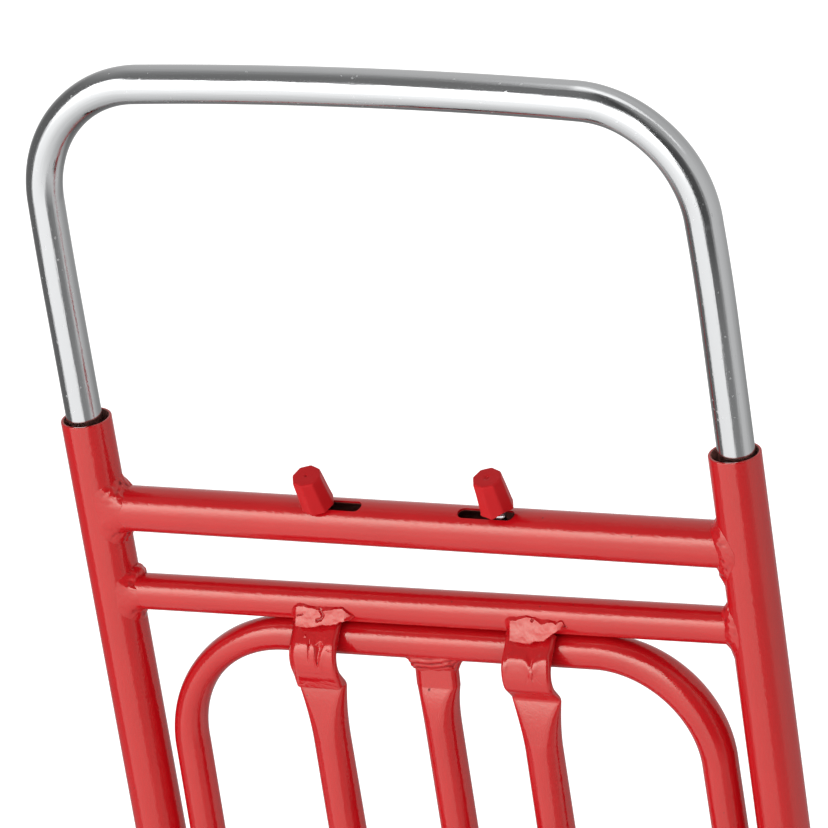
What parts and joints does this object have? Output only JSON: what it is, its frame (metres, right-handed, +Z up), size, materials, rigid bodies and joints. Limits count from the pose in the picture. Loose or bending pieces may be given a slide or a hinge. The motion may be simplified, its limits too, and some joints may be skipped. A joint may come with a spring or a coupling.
{
  "type": "luggage trolley",
  "caption": "Folding luggage trolley: red steel tube frame with a chromed telescopic handle, sprung thumb locks, a fold-up toe loop, rubber wheels and feet.",
  "frame": {"origin": "on the floor, in the middle of the bounding box", "axes": "+Z up, +Y forward to the side that carries the load, +X to the right of the user behind it"},
  "size_m": [0.4688, 0.189, 0.6446],
  "materials": {
    "red_paint": "gloss",
    "chrome": "polished",
    "bright_steel": "satin",
    "red_plastic": "satin",
    "black_plastic": "satin",
    "nylon": "satin",
    "tyre_rubber": "matte",
    "pad_rubber": "matte"
  },
  "bodies": {
    "frame": {"lock_crossbar": "red_paint", "lower_crossbar": "red_paint", "hinge_crossbar": "red_paint", "axle": "bright_steel", "axle_tube": "red_paint", "left_rail": "red_paint", "right_rail": "red_paint", "left_rail_plug": "black_plastic", "right_rail_plug": "black_plastic", "left_back_bar": "red_paint", "right_back_bar": "red_paint", "left_foot_bracket": "red_paint", "right_foot_bracket": "red_paint", "left_foot_pad": "pad_rubber", "right_foot_pad": "pad_rubber", "left_wheel_bracket": "red_paint", "right_wheel_bracket": "red_paint", "left_inner_rod_guide": "black_plastic", "right_inner_rod_guide": "black_plastic", "left_outer_rod_guide": "black_plastic", "right_outer_rod_guide": "black_plastic", "left_lock_spring": "bright_steel", "right_lock_spring": "bright_steel", "left_wheel_spacer": "black_plastic", "right_wheel_spacer": "black_plastic", "left_wheel_washer": "bright_steel", "right_wheel_washer": "bright_steel", "left_axle_cap": "black_plastic", "right_axle_cap": "black_plastic"},
    "handle": {"handle_tube": "chrome", "left_leg_guide": "black_plastic", "right_leg_guide": "black_plastic"},
    "left_lock": {"left_lock_rod": "bright_steel", "left_button_cap": "red_plastic", "left_spring_collar": "bright_steel"},
    "right_lock": {"right_lock_rod": "bright_steel", "right_button_cap": "red_plastic", "right_spring_collar": "bright_steel"},
    "toe": {"toe_loop": "red_paint", "toe_centre_bar": "red_paint", "centre_hinge_sleeve": "red_paint", "left_hinge_sleeve": "red_paint", "right_hinge_sleeve": "red_paint"},
    "left_wheel": {"left_wheel_hub": "black_plastic", "left_hub_bush": "nylon", "left_tyre": "tyre_rubber"},
    "right_wheel": {"right_wheel_hub": "black_plastic", "right_hub_bush": "nylon", "right_tyre": "tyre_rubber"}
  },
  "joints": [
    {"name": "handle_slide", "type": "slide", "parent": "frame", "child": "handle", "axis": [0, 0, 1], "range_m": [0, 0.34]},
    {"name": "left_lock_slide", "type": "slide", "parent": "frame", "child": "left_lock", "axis": [1, 0, 0], "range_m": [-0.0045, 0.019], "stiffness_N_per_m": 150, "springref_m": -0.0045, "deforming": ["left_lock_spring"]},
    {"name": "right_lock_slide", "type": "slide", "parent": "frame", "child": "right_lock", "axis": [-1, 0, 0], "range_m": [-0.0045, 0.019], "stiffness_N_per_m": 150, "springref_m": -0.0045, "deforming": ["right_lock_spring"]},
    {"name": "toe_fold", "type": "hinge", "parent": "frame", "child": "toe", "pos_m": [0, 0.0455, 0.022], "axis": [-1, 0, 0], "range_deg": [0, 90]},
    {"name": "left_wheel_spin", "type": "hinge", "parent": "frame", "child": "left_wheel", "pos_m": [0, -0.0195, 0.075], "axis": [1, 0, 0], "continuous": true},
    {"name": "right_wheel_spin", "type": "hinge", "parent": "frame", "child": "right_wheel", "pos_m": [0, -0.0195, 0.075], "axis": [1, 0, 0], "continuous": true}
  ]
}
